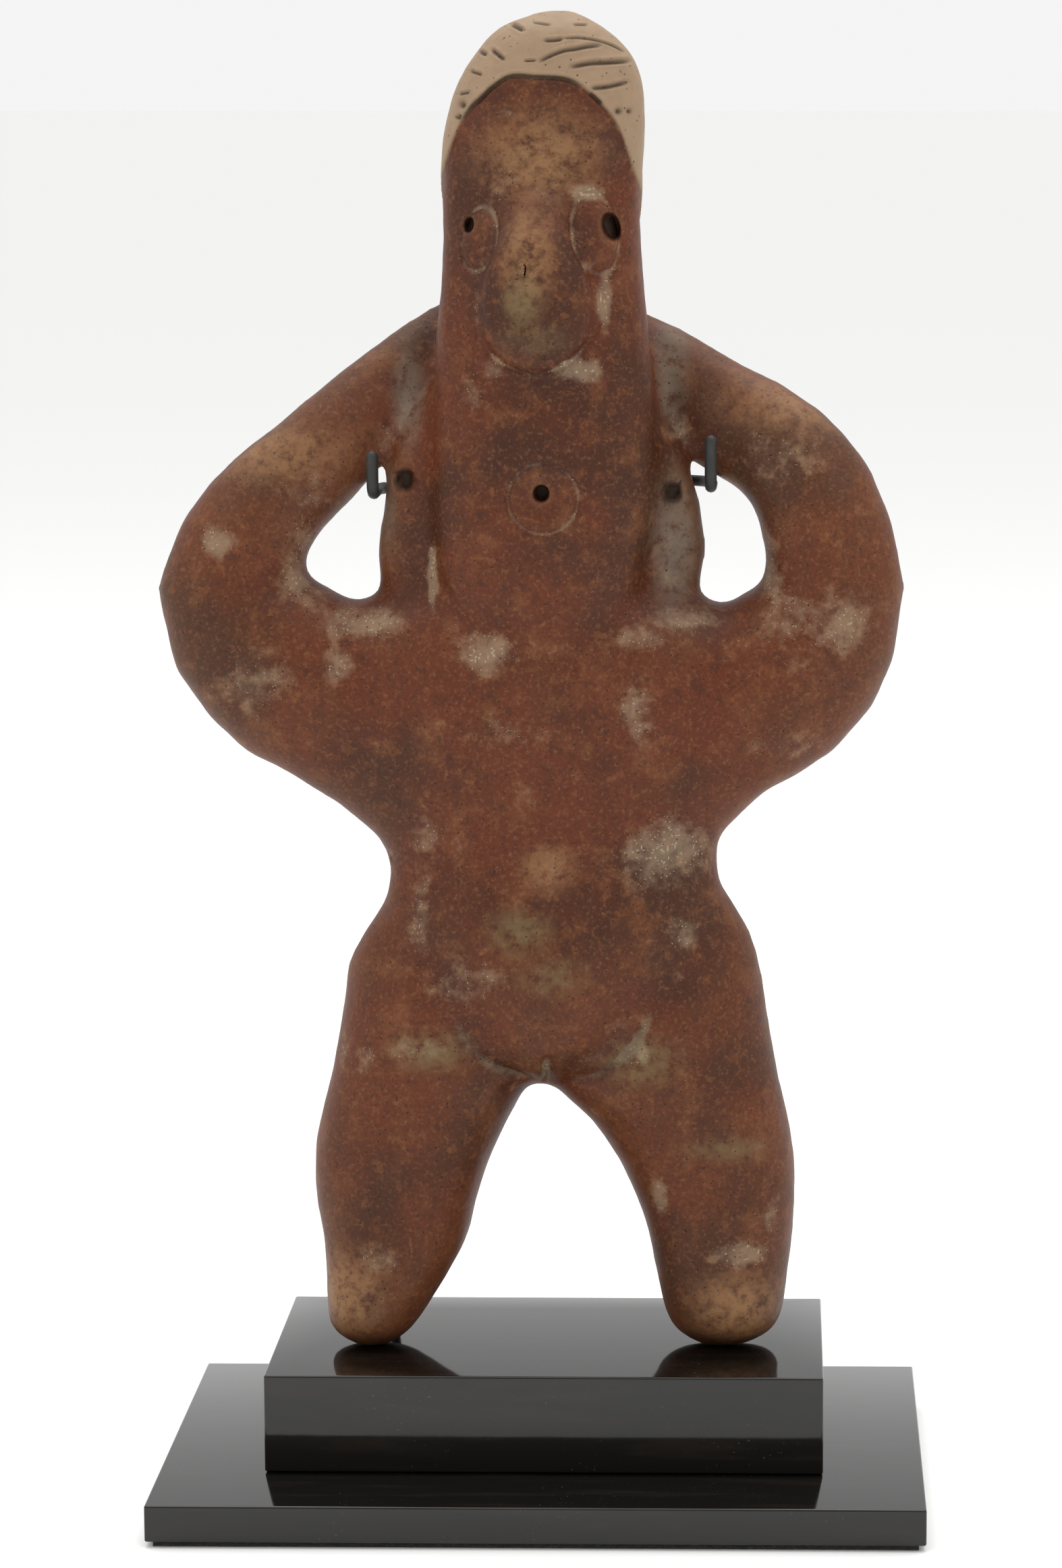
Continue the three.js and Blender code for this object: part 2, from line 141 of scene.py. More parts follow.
# Nose: a broad drop on the face, as its middle and half width at each height
NOSE_HEIGHTS = (255.5, 256.6, 258.2, 260.5, 264, 271.5, 279, 285, 290, 294, 299)
NOSE_MIDDLES = (-0.8, -0.8, -0.8, -0.6, -0.4, -0.2, -0.4, -0.7, -0.9, -0.9, -0.6)
NOSE_WIDTHS = (0.4, 4.0, 7.4, 10.0, 11.9, 12.8, 11.5, 9.6, 7.8, 6.0, 4.0)

# Earth, olive silt, grey lime, and bare clay mixed with painted highlight on belly, legs, forehead, nose and arm
# tops, on the front, as patches: middle and half sizes
PATCHES = (
    ("crust", 10.0, 295.1, 4.6, 2.3, 1.0), ("crust", -8.1, 296.0, 5.3, 6.7, 0.45),
    ("crust", 14.8, 271.3, 1.8, 7.9, 0.8), ("crust", 8.9, 256.2, 6.3, 3.2, 1.0),
    ("crust", -10.1, 256.4, 2.8, 3.2, 0.7), ("crust", -15.1, 251.4, 3.5, 7.0, 0.5),
    ("grey", -30.2, 250.3, 4.0, 12.0, 1.0), ("grey", 28.6, 255.7, 4.5, 14.0, 1.0),
    ("crust", -51.6, 212.1, 8.0, 13.1, 0.8), ("crust", -38.8, 199.5, 13.0, 5.0, 0.9),
    ("crust", 51.5, 212.3, 5.0, 11.0, 0.7), ("crust", 33.1, 200.5, 11.0, 3.8, 0.8),
    ("crust", -72.6, 217.4, 4.6, 4.6, 1.0), ("crust", -45.2, 190.0, 4.9, 4.9, 0.9),
    ("crust", -63.2, 186.3, 12.0, 9.0, 0.6), ("crust", -12.0, 193.1, 7.5, 6.0, 0.9),
    ("crust", -24.4, 209.1, 1.4, 9.6, 0.9), ("crust", -8.6, 175.6, 9.5, 4.5, 0.6),
    ("crust", 21.4, 179.2, 5.2, 7.5, 0.8), ("crust", 62.9, 198.9, 15.0, 11.0, 0.75),
    ("crust", 56.0, 171.5, 12.3, 4.0, 0.55), ("crust", 28.0, 148.0, 11.5, 11.0, 1.0),
    ("crust", 31.9, 130.3, 4.6, 5.0, 0.8), ("crust", -27.5, 134.4, 4.2, 11.0, 0.75),
    ("crust", -26.5, 153.0, 4.5, 7.0, 0.6), ("crust", -16.0, 119.6, 9.0, 5.5, 0.7),
    ("olive", -5.0, 130.4, 8.0, 6.0, 0.9), ("olive", 2.5, 120.5, 9.5, 5.0, 0.6),
    ("crust", -26.0, 103.9, 8.0, 4.0, 0.7), ("olive", -25.0, 103.0, 10.0, 5.0, 0.9),
    ("crust", 21.8, 102.4, 7.0, 4.0, 0.6), ("olive", 22.4, 101.0, 10.0, 6.4, 0.9),
    ("crust", 0.8, 98.9, 1.3, 3.0, 0.9), ("olive", 41.2, 80.4, 11.0, 3.0, 0.7),
    ("crust", 26.4, 68.0, 2.5, 6.3, 0.8), ("crust", 43.9, 55.8, 9.6, 3.8, 0.9),
    ("crust", -37.2, 54.6, 8.8, 4.6, 0.45), ("crust", 51.8, 64.4, 2.5, 7.0, 0.7),
    ("crust", -46.4, 101.7, 2.2, 6.0, 0.7), ("crust", -40.6, 101.0, 3.5, 5.3, 0.6),
    ("grey", 29.6, 217.3, 6.0, 17.0, 1.0), ("grey", -35.0, 226.0, 2.4, 12.0, 0.8),
    ("olive", -3.4, 271.5, 4.4, 7.5, 1.0), ("olive", -1.0, 263.4, 8.0, 4.0, 0.5),
    ("crust", -51.7, 228.4, 10.5, 7.0, 0.5), ("crust", 52.1, 236.5, 12.3, 9.5, 0.5),
    ("crust", 22.8, 196.2, 8.0, 4.2, 0.6), ("warm", 1.7, 144.7, 7.0, 6.0, 0.7),
    ("warm", -45.3, 46.1, 9.5, 11.0, 0.9), ("warm", 43.9, 43.8, 10.0, 9.5, 0.9),
    ("warm", 0.4, 303.0, 15.0, 11.0, 0.8), ("warm", -2.0, 281.0, 6.0, 13.0, 0.9),
    ("warm", -60.0, 237.0, 22.0, 7.0, 0.6), ("warm", 58.0, 248.0, 20.0, 7.0, 0.6),
)

# Small chips and nicks in the front, as their middle, size and depth
CHIPS = (
    (-2.5, 278.6, 0.7, 1.8, 0.5), (-5.0, 276.4, 0.9, 0.6, 0.5), (-35.4, 146.0, 1.6, 1.2, 0.8),
    (-7.2, 312.4, 1.5, 0.9, 0.25), (1.2, 259.6, 0.9, 0.7, 0.4), (5.6, 258.4, 0.8, 0.6, 0.4),
    (52.0, 72.4, 1.2, 0.9, 0.4), (27.8, 148.6, 1.4, 1.0, 0.4), (-24.3, 214.0, 0.8, 2.2, 0.4),
)

# Rods: their runs, one each side, with the thickness of the wire and of the sleeve over its hook
ROD_RADIUS = 1.25
SLEEVE_RADIUS = 1.35
ROD_BEND = 4.0
ROD_FOOT_DEPTH = 10.0
ROD_PLACES = (
    {"side": "left", "foot": -37.5, "shoulder": -28.0, "hook": -37.6, "height": 228.0, "tip": 237.8},
    {"side": "right", "foot": 41.0, "shoulder": 28.0, "hook": 37.8, "height": 229.6, "tip": 241.4},
)


def tone(code):
    """A screen colour written in hexadecimal, as the linear colour that shaders work in."""
    parts = [int(code[i : i + 2], 16) / 255 for i in (0, 2, 4)]
    return tuple(((c + 0.055) / 1.055) ** 2.4 if c > 0.04045 else c / 12.92 for c in parts)


def colour(name, description, code):
    return bpy.props.FloatVectorProperty(
        name=name, description=description, subtype="COLOR", size=3, min=0, max=1, default=tone(code)
    )


class ClayLooks(bpy.types.PropertyGroup):
    """The clay figure's mesh and colours."""

    grain: bpy.props.FloatProperty(
        name="Mesh grain", description="Edge length of the clay's mesh", default=1.45 * MM, min=0.8 * MM,
        unit="LENGTH",
    )
    unevenness: bpy.props.FloatProperty(
        name="Unevenness", description="How far the hand-modelled skin wanders", default=0.28 * MM,
        unit="LENGTH",
    )
    slip: colour("Slip", "Burnished red slip", "5a2810")
    deep_slip: colour("Deep slip", "Slip where it is thick and dark", "3f1e0e")
    warm_slip: colour("Warm slip", "Slip worn thin, orange brown", "6d3e20")
    # Worn slip, also used as painted highlight on the arm tops, nose, forehead, belly and legs.
    worn_slip_and_highlight: colour("Worn slip", "Slip rubbed down to the buff clay", "8d6745")
    body_clay: colour("Bare clay", "Buff clay of the hair and of worn places", "967e64")
    crust: colour("Crust", "Pale earth that sticks in the hollows", "a8957b")
    olive: colour("Olive earth", "Greenish earth on belly, groin and nose", "6f5f3f")
    lime: colour("Lime", "Grey film behind the arms and on the ears", "6f6253")
    # Dark specks, and also painted shade in the bottoms of cuts and inside pricked holes.
    soot_and_shade: colour("Soot", "Dark specks and the bottoms of cuts", "2b2017")


class BaseLooks(bpy.types.PropertyGroup):
    """The two-step base and the felt under it."""

    edge: bpy.props.FloatProperty(
        name="Edge", description="Width of the boards' eased edges", default=0.5 * MM, unit="LENGTH"
    )
    lacquer: colour("Lacquer", "Black polished boards", "100e0c")
    streak: colour("Streak", "Brown grain that shows through the lacquer", "2a2119")
    dust: colour("Dust", "Dust and specks on the boards", "8d8468")
    felt: colour("Felt", "Felt under the base", "15130f")


class RodLooks(bpy.types.PropertyGroup):
    """The rods that hold the figure."""

    metal: colour("Metal", "Blackened steel", "3a3632")
    sleeve: colour("Sleeve", "Soft black sleeve on each hook", "22221f")


class StageLooks(bpy.types.PropertyGroup):
    """Floor, lights and camera."""

    floor: colour("Floor", "Pale floor", "fbfbfa")
    sky: bpy.props.FloatProperty(name="Sky", description="Brightness of the surroundings behind", default=0.91)
    room: bpy.props.FloatProperty(name="Room", description="Brightness of the surroundings in front", default=0.5)
    ceiling: bpy.props.FloatProperty(name="Ceiling", description="Extra brightness overhead", default=0.27)
    key: bpy.props.FloatProperty(name="Key light", description="Power of the main light", default=4.5)
    fill: bpy.props.FloatProperty(name="Fill light", description="Power of the second light", default=3.0)
    top: bpy.props.FloatProperty(name="Top light", description="Power of the light overhead", default=12.0)
    lens: bpy.props.FloatProperty(name="Lens", description="Focal length", default=CAMERA_LENS, unit="CAMERA")


class Value:
    """A shader socket that takes part in sums, each of which becomes a Math node."""

    def __init__(self, finish, socket):
        self.finish = finish
        self.socket = socket

    def __add__(self, other):
        return self.finish.maths("ADD", self, other)

    def __sub__(self, other):
        return self.finish.maths("SUBTRACT", self, other)

    def __rsub__(self, other):
        return self.finish.maths("SUBTRACT", other, self)

    def __mul__(self, other):
        return self.finish.maths("MULTIPLY", self, other)

    def __truediv__(self, other):
        return self.finish.maths("DIVIDE", self, other)

    def __pow__(self, other):
        return self.finish.maths("POWER", self, other)

    __radd__ = __add__
    __rmul__ = __mul__

    def size(self):
        return self.finish.maths("ABSOLUTE", self)

    def at_least(self, other):
        return self.finish.maths("MAXIMUM", self, other)

    def at_most(self, other):
        return self.finish.maths("MINIMUM", self, other)

    def between(self, low, high):
        """Rises softly from 0 at low to 1 at high, or falls where high is the smaller."""
        settings = {"interpolation_type": "SMOOTHSTEP"}
        return self.finish.node(
            "ShaderNodeMapRange", settings, {"Value": self, "From Min": low, "From Max": high}
        )


class Nodes:
    """A node tree being made. Every node but the shader comes from node()."""

    def __init__(self, tree, coordinates):
        self.tree = tree
        self.place = self.node("ShaderNodeTexCoord", {}, {}, coordinates)

    def node(self, kind, settings, values, output=0):
        made = self.tree.nodes.new(kind)
        for setting, value in settings.items():
            if setting == "stops":
                self.set_stops(made.color_ramp.elements, value)
            else:
                setattr(made, setting, value)
        for key, value in values.items():
            self.feed(made.inputs[key], value)
        return Value(self, made.outputs[output])

    def set_stops(self, stops, wanted):
        while len(stops) < len(wanted):
            stops.new(1)
        for stop, (place, shade) in zip(stops, wanted):
            stop.position = place
            stop.color = (*shade, 1)

    def feed(self, socket, value):
        """Links a value to a socket, or sets a plain number or colour on it."""
        if isinstance(value, Value):
            self.tree.links.new(value.socket, socket)
        elif socket.type == "RGBA":
            socket.default_value = (*value, 1)
        else:
            socket.default_value = value

    def maths(self, operation, *values):
        return self.node("ShaderNodeMath", {"operation": operation}, dict(enumerate(values)))

    def axes(self):
        split = self.node("ShaderNodeSeparateXYZ", {}, {0: self.place})
        return [Value(self, socket) for socket in split.socket.node.outputs]


class Finish(Nodes):
    """A material being made. Constants go straight on its shader."""

    def __init__(self, name, **constants):
        self.material = bpy.data.materials.new(name)
        self.material.use_nodes = True
        super().__init__(self.material.node_tree, "Object")
        self.shader = next(n for n in self.tree.nodes if n.type == "BSDF_PRINCIPLED")
        for socket, value in constants.items():
            self.shader.inputs[socket.replace("_", " ")].default_value = value

    def mix(self, share, under, over, blend="MIX"):
        """Two colours mixed: the Mix node's colour sockets are its seventh and eighth."""
        settings = {"data_type": "RGBA", "blend_type": blend}
        return self.node("ShaderNodeMix", settings, {0: share, 6: under, 7: over}, 2)

    def laid(self, stretch, turn):
        """The place turned about the front axis and stretched, for a pattern that runs one way."""
        values = {"Vector": self.place, "Rotation": (0, math.radians(turn), 0), "Scale": stretch}
        return self.node("ShaderNodeMapping", {}, values)

    def noise(self, size, detail=3.0, rough=0.55, stretch=None, turn=0.0):
        """Cloudy noise about 0.5, its clouds about so many millimetres across."""
        where = self.laid(stretch, turn) if stretch else self.place
        values = {"Vector": where, "Scale": 1 / (size * MM), "Detail": detail, "Roughness": rough}
        return self.node("ShaderNodeTexNoise", {}, values)

    def cells(self, size, stretch=None, turn=0.0):
        """Distance to the nearest of scattered points, 0 at each point, about 1 between them."""
        where = self.laid(stretch, turn) if stretch else self.place
        return self.node("ShaderNodeTexVoronoi", {}, {"Vector": where, "Scale": 1 / (size * MM)})

    def painted(self, name):
        """A value painted on the piece's own vertices."""
        return self.node("ShaderNodeAttribute", {"attribute_name": name}, {}, "Fac")

    def bump(self, height, depth, under=None):
        """Relief of so many millimetres, on top of another if one is given."""
        values = {"Height": height, "Distance": depth * MM, "Strength": 1.0}
        if under:
            values["Normal"] = under
        return self.node("ShaderNodeBump", {}, values)

    def wear(self, **links):
        for socket, value in links.items():
            self.feed(self.shader.inputs[socket.replace("_", " ")], value)
        return self.material


def only(piece):
    """Makes one object the selected and active one."""
    bpy.ops.object.select_all(action="DESELECT")
    piece.select_set(True)
    bpy.context.view_layer.objects.active = piece


def linked(name, data):
    piece = bpy.data.objects.new(name, data)
    bpy.context.scene.collection.objects.link(piece)
    only(piece)
    return piece


def apply_modifier(piece, kind, **settings):
    only(piece)
    modifier = piece.modifiers.new(kind.title(), kind)
    for setting, value in settings.items():
        setattr(modifier, setting, value)
    bpy.ops.object.modifier_apply(modifier=modifier.name)


def settle(piece):
    """Puts the piece's place, turn and scale in its mesh."""
    only(piece)
    bpy.ops.object.transform_apply(location=True, rotation=True, scale=True)


def dress(piece, material, slot, *nodes):
    """Gives a finished piece its material, and hangs it on the frame in place of its solids."""
    piece.data.materials.clear()
    piece.data.materials.append(material)
    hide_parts(*nodes)
    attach(piece, BODY)


def shade_soft(piece, degrees):
    only(piece)
    bpy.ops.object.shade_smooth_by_angle(angle=math.radians(degrees))


def read(items, name, width, kind=np.float64):
    values = np.empty(len(items) * width, kind)
    items.foreach_get(name, values)
    return values.reshape(-1, width) if width > 1 else values


def rise(values, low, high):
    """Soft step from 0 at low to 1 at high."""
    share = np.clip((values - low) / (high - low), 0, 1)
    return share * share * (3 - 2 * share)


def curve_through(points, steps=6):
    """A smooth line through given points, as closely spaced points."""
    points = np.array(points, float)
    if len(points) < 3:
        return points
    ends = np.vstack([2 * points[0] - points[1], points, 2 * points[-1] - points[-2]])
    run = []
    for p0, p1, p2, p3 in zip(ends, ends[1:], ends[2:], ends[3:]):
        for t in np.linspace(0, 1, steps, endpoint=False):
            run.append(
                0.5 * (2 * p1 + (p2 - p0) * t + (2 * p0 - 5 * p1 + 4 * p2 - p3) * t**2
                       + (3 * p1 - p0 - 3 * p2 + p3) * t**3)
            )
    return np.array([*run, points[-1]])


class Skin:
    """The clay's skin in millimetres, moved the way fingers and tools would move it."""

    def __init__(self, mesh):
        self.mesh = mesh
        self.place = read(mesh.vertices, "co", 3) / MM
        ends = read(mesh.edges, "vertices", 2, np.int32)
        self.first, self.second = ends.T
        self.links = np.bincount(ends.ravel(), minlength=len(self.place))
        self.marks = {}

    @property
    def x(self):
        return self.place[:, 0]

    @property
    def y(self):
        return self.place[:, 1]

    @property
    def z(self):
        return self.place[:, 2]

    def give_back(self):
        self.mesh.vertices.foreach_set("co", (self.place * MM).ravel())
        self.mesh.update()

    def normals(self):
        self.give_back()
        return read(self.mesh.vertex_normals, "vector", 3)

    def around(self, values):
        """Each point's neighbours' mean."""
        count = len(self.place)
        columns = values.reshape(count, -1).T
        sums = [
            np.bincount(self.first, column[self.second], count)
            + np.bincount(self.second, column[self.first], count)
            for column in columns
        ]
        return (np.array(sums) / self.links).T.reshape(values.shape)

    def blur(self, values, rounds):
        for _ in range(rounds):
            values = 0.4 * values + 0.6 * self.around(values)
        return values

    def smooth(self, rounds, share=None):
        """Rubs ridges down, wholly or where share says, and gives back the bulk that this takes."""
        before = self.place.copy()
        after = self.blur(before, rounds)
        after += self.blur(before - after, rounds)
        change = after - before
        self.place = before + (change if share is None else change * share[:, None])

    def fill_creases(self, rounds, share):
        """Smears clay into inward corners and leaves everything else."""
        normals = self.normals()
        gain = ((self.blur(self.place, rounds) - self.place) * normals).sum(1)
        self.place += normals * (gain.clip(min=0) * share)[:, None]

    def push(self, amount):
        """Moves the skin out along its normals, or in where the amount is negative."""
        self.place += self.normals() * amount[:, None]

    def front(self):
        """1 on the skin that faces the front, 0 on the sides and the back."""
        return rise(-self.normals()[:, 1], 0.05, 0.45)

    def back(self):
        return rise(self.normals()[:, 1], 0.05, 0.45)

    def line(self, points, steps=6):
        """Distance from each point to a line seen from the front, and how far along it that is, 0 to 1."""
        run = curve_through(points, steps)
        nearest = np.full(len(self.place), 1e9)
        along = np.zeros(len(self.place))
        for i, (start, end) in enumerate(zip(run, run[1:])):
            way = end - start
            share = ((self.x - start[0]) * way[0] + (self.z - start[1]) * way[1]) / (way @ way)
            share = np.clip(share, 0, 1)
            gap = np.hypot(self.x - start[0] - share * way[0], self.z - start[1] - share * way[1])
            closer = gap < nearest
            nearest = np.where(closer, gap, nearest)
            along = np.where(closer, (i + share) / (len(run) - 1), along)
        return nearest, along

    def spot(self, at, half, lean=0.0):
        """How far out each point is in a leaning oval seen from the front: 0 in the middle, 1 on its edge."""
        across = self.x - at[0]
        up = self.z - at[1]
        side = across * math.cos(lean) - up * math.sin(lean)
        height = across * math.sin(lean) + up * math.cos(lean)
        return np.hypot(side / half[0], height / half[1])

    def mark(self, name, amount):
        """Remembers where something shows, to be painted there."""
        known = self.marks.setdefault(name, np.zeros(len(self.place)))
        np.maximum(known, amount, out=known)

    def cut(self, points, width, depth, where, dark=1.0):
        """A line drawn in wet clay: a groove that fades at its ends, with a low burr beside it and painted shade
        in its bottom.
        """
        gap, along = self.line(points)
        taper = np.sqrt(np.clip(1 - np.abs(2 * along - 1) ** 6, 0.08, 1)) * where
        groove = np.exp(-((gap / width) ** 2)) * taper
        burr = np.exp(-(((gap - 2.1 * width) / (0.8 * width)) ** 2)) * taper
        self.push(depth * (0.22 * burr - groove))
        # Marks painted shade in the groove's bottom, as strong as dark says.
        self.mark("line", dark * groove)

    def prick(self, hole):
        """A hole pushed straight in from the front, with a low rim and painted shade inside."""
        reach = self.spot(hole["at"], hole["half"], hole["lean"])
        facing = rise(-self.normals()[:, 1], -0.2, 0.2)
        inside = (1 - rise(reach, 0.72, 1.1)) * facing
        rim = np.exp(-(((reach - 1.25) / 0.22) ** 2)) * facing
        self.place[:, 1] += hole["depth"] * inside
        self.push(0.18 * rim)
        # Marks painted shade inside the hole.
        self.mark("hole", inside)


def hole_plug(tree, hole, extra):
    """Fills a carved hole up to the skin round it, so that it can be cut again on the finer mesh."""
    x, z = hole["at"]
    width, height = (size + extra for size in hole["half"])
    ring = [i * math.tau / 12 for i in range(12)]
    places = [(x + 1.15 * width * math.cos(a), z + 1.15 * height * math.sin(a)) for a in ring]
    hits = [tree.ray_cast(Vector((px * MM, -1, pz * MM)), Vector((0, 1, 0)))[0] for px, pz in places]
    front = sorted(hit.y for hit in hits if hit)[len(hits) // 2] / MM
    depth = 9.0
    bpy.ops.mesh.primitive_cylinder_add(
        vertices=24, radius=1, depth=1, location=(x * MM, (front + depth / 2) * MM, z * MM),
        rotation=(math.pi / 2, hole["lean"], 0), scale=(width * MM, height * MM, depth * MM),
    )
    plug = bpy.context.object
    settle(plug)
    return plug


def even_clay(grain):
    """A copy of the figure's solid with its carving filled in, as one even mesh."""
    solid = frame["nodes"]["figure"].data.copy()
    piece = linked("clay_figure", solid)
    bpy.ops.object.mode_set(mode="EDIT")
    bpy.ops.mesh.select_all(action="SELECT")
    bpy.ops.mesh.remove_doubles(threshold=0.001 * MM)
    bpy.ops.object.mode_set(mode="OBJECT")
    tree = BVHTree.FromPolygons([v.co for v in solid.vertices], [p.vertices for p in solid.polygons])
    mouth = {"at": MOUTH_AT, "half": (MOUTH_RING, MOUTH_RING), "lean": 0.0}
    plugs = [hole_plug(tree, hole, 0.7) for hole in (*EYE_HOLES, *EAR_HOLES)] + [hole_plug(tree, mouth, 1.2)]
    only(piece)
    for plug in plugs:
        plug.select_set(True)
    bpy.ops.object.join()
    apply_modifier(piece, "REMESH", mode="VOXEL", voxel_size=grain)
    keep_one_body(piece)
    return piece


def keep_one_body(piece):
    """Deletes the specks that a remesh can leave in a crevice: all that isn't joined to the highest point."""
    only(piece)
    bpy.ops.object.mode_set(mode="EDIT")
    bpy.ops.mesh.select_mode(type="VERT")
    bpy.ops.mesh.select_all(action="DESELECT")
    bpy.ops.object.mode_set(mode="OBJECT")
    highest = read(piece.data.vertices, "co", 3)[:, 2].argmax()
    piece.data.vertices[int(highest)].select = True
    bpy.ops.object.mode_set(mode="EDIT")
    bpy.ops.mesh.select_linked()
    bpy.ops.mesh.select_all(action="INVERT")
    bpy.ops.mesh.delete(type="VERT")
    bpy.ops.object.mode_set(mode="OBJECT")


def subdivide_where(piece, wanted):
    """Halves the mesh where wanted says so of a face's middle, in millimetres, and of its normal."""
    only(piece)
    middles = read(piece.data.polygons, "center", 3) / MM
    normals = read(piece.data.polygons, "normal", 3)
    bpy.ops.object.mode_set(mode="EDIT")
    bpy.ops.mesh.select_mode(type="FACE")
    bpy.ops.mesh.select_all(action="DESELECT")
    bpy.ops.object.mode_set(mode="OBJECT")
    piece.data.polygons.foreach_set("select", wanted(middles, normals))
    bpy.ops.object.mode_set(mode="EDIT")
    bpy.ops.mesh.subdivide(number_cuts=1, smoothness=0)
    bpy.ops.object.mode_set(mode="OBJECT")


def face_side(middles, normals):
    """The front of the head, and its sides where the hair's edge runs down."""
    x, y, z = middles.T
    front = (np.abs(x) < 27) & (z > 196) & (normals[:, 1] < -0.1)
    temples = (z > 279) & (z < 308) & (y > -14) & (y < 10)
    return front | temples


def finest(middles, normals):
    """The hair, the eyes, the nose and the mouth."""
    x, y, z = middles.T
    hair = z > 305
    eyes = (z > 276) & (z < 296) & (np.abs(x) > 6) & (np.abs(x) < 21)
    nose = (z > 253) & (z < 300) & (np.abs(x) < 15)
    mouth = np.hypot(x - MOUTH_AT[0], z - MOUTH_AT[1]) < MOUTH_RING + 2.5
    return (hair | eyes | nose | mouth) & (normals[:, 1] < -0.1) & (np.abs(x) < 23)


def hairline_height(x):
    line = curve_through(HAIRLINE)
    return np.interp(x, line[:, 0], line[:, 1])


def shape_hair(skin):
    """The cap of hair: a thin raised layer that ends in a cut line on the forehead."""
    behind = rise(skin.y, -4, 6)
    low_edge = (1 - behind) * hairline_height(skin.x) + behind * 283
    cap = rise(skin.z, low_edge - 0.5, low_edge + 0.7) * (skin.z > 270) * (np.abs(skin.x) < 30)
    skin.push(0.45 * cap)
    skin.mark("hair", cap)
    front = skin.front()
    for cut in HAIRLINE_CUTS:
        skin.cut(cut, 0.42, 0.7, front)
    for width, stroke in HAIR_STROKES:
        skin.cut(stroke, width, 1.7 * width, front)
    for x, z, radius in HAIR_PITS:
        pit = np.exp(-(skin.spot((x, z), (radius, radius)) ** 2)) * front
        skin.push(-0.8 * pit)
        # Marks painted shade in the pit.
        skin.mark("line", pit)


def shape_nose(skin):
    """Crisps the drop-shaped nose: a step at its sides and a press mark round its lower edge."""
    front = skin.front()
    middle = np.interp(skin.z, NOSE_HEIGHTS, NOSE_MIDDLES)
    width = np.interp(skin.z, NOSE_HEIGHTS, NOSE_WIDTHS, left=0.01, right=0.01)
    beside = np.abs(skin.x - middle) - width
    below = NOSE_HEIGHTS[0] + 0.055 * (skin.x - NOSE_MIDDLES[0]) ** 2 - skin.z
    gap = np.maximum(beside, below)
    low = 1 - rise(skin.z, 276, 296)
    skin.push(front * low * (1.0 * (1 - rise(gap, -2.4, 0.6)) - 0.35 * np.exp(-(((gap - 1.0) / 1.1) ** 2))))
    skin.mark("crease", front * low * 0.7 * np.exp(-(((gap - 0.9) / 0.9) ** 2)))


def shape_eyes(skin):
    front = skin.front()
    for pellet in PELLETS:
        reach = skin.spot(pellet["at"], pellet["half"], pellet["lean"])
        dome = np.sqrt(np.clip(1 - reach**2, 0, 1))
        moat = np.exp(-(((reach - 1.1) / 0.13) ** 2))
        skin.push(front * (pellet["proud"] * dome - 0.5 * moat))
        skin.mark("crease", front * moat)
    for hole in EYE_HOLES:
        skin.prick(hole)


def shape_mouth(skin):
    front = skin.front()
    reach = skin.spot(MOUTH_AT, (1, 1))
    ring = np.exp(-(((reach - MOUTH_RING) / 0.6) ** 2))
    lip = np.exp(-(((reach - MOUTH_RING + 1.7) / 1.0) ** 2))
    dish = 1 - rise(reach, MOUTH_DISH - 1.8, MOUTH_DISH + 0.4)
    skin.push(front * (0.25 * lip - 0.55 * ring - 0.4 * dish))
    skin.mark("crease", 0.8 * front * ring)
    skin.prick(MOUTH_HOLE)


def shape_body(skin):
    front = skin.front()
    for line in GROIN_LINES:
        skin.cut(line, 1.1, 1.0, front, 0.5)
    skin.cut(CLEFT, 0.9, 1.6, front, 0.6)


def shape_back(skin):
    """Fingers on the back of the head and the furrow of the seat."""
    back = skin.back()
    for lift in (-3.0, 0.2, 3.2):
        skin.cut(((-15, 265 + lift), (-8, 267.2 + lift), (-3.4, 267.6 + lift)), 0.7, 0.9, back, 0.5)
        skin.cut(((16.5, 261.6 + lift), (9, 263.4 + lift), (4.6, 263.4 + lift)), 0.7, 0.9, back, 0.5)
    skin.cut(((1.4, 128), (1.1, 114), (1, 97)), 1.8, 2.0, back, 0.5)


def wander(skin, size, seed):
    """Smooth random heights about 0, one for each point, its swells about so many millimetres across."""
    shift = Vector((seed * 17.3, seed * 5.1, seed * 9.7))
    return np.array([noise.noise(Vector(p) / size + shift) for p in skin.place])


def wander_near(skin, x, z, reach=6, size=1.1):
    """Ragged heights like wander's, worked out only near a place seen from the front."""
    near = np.hypot(skin.x - x, skin.z - z) < reach
    heights = np.zeros(len(skin.place))
    heights[near] = [noise.noise(Vector(p) / size) for p in skin.place[near]]
    return heights


def hand_modelling(skin, amount):
    """The unevenness that fingers and a burnishing stone leave, and a few small chips."""
    skin.push(amount * (wander(skin, 21, 1) + 0.55 * wander(skin, 8, 2) + 0.3 * wander(skin, 3.5, 3)))
    front = skin.front()
    for x, z, width, height, depth in CHIPS:
        chip = rise(1.25 - skin.spot((x, z), (width, height)) + 0.4 * wander_near(skin, x, z), 0, 0.6)
        skin.push(-depth * chip * front)
        skin.mark("crease", chip * front)


def keep_clear(skin, paths, distance):
    """Presses the clay back to a distance from the rods, so that they never run into it."""
    for path in paths:
        for start, end in zip(path, path[1:]):
            way = end - start
            share = np.clip(((skin.place - start) @ way) / (way @ way), 0, 1)
            offset = skin.place - start - share[:, None] * way
            gap = np.linalg.norm(offset, axis=1)
            near = gap < distance
            skin.place[near] += offset[near] / gap[near, None] * (distance - gap[near])[:, None]


def stay_in_box(skin, node):
    low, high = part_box(node)
    skin.place = np.clip(skin.place, np.array(low) / MM, np.array(high) / MM)


def paint_patches(skin):
    """The patches of earth, silt, lime, and bare clay with painted highlight, each fading out from its middle."""
    front = skin.front()
    for kind, x, z, half_width, half_height, amount in PATCHES:
        reach = skin.spot((x, z), (half_width, half_height))
        skin.mark(kind, amount * (1 - rise(reach, 0.15, 1.35)) * front)


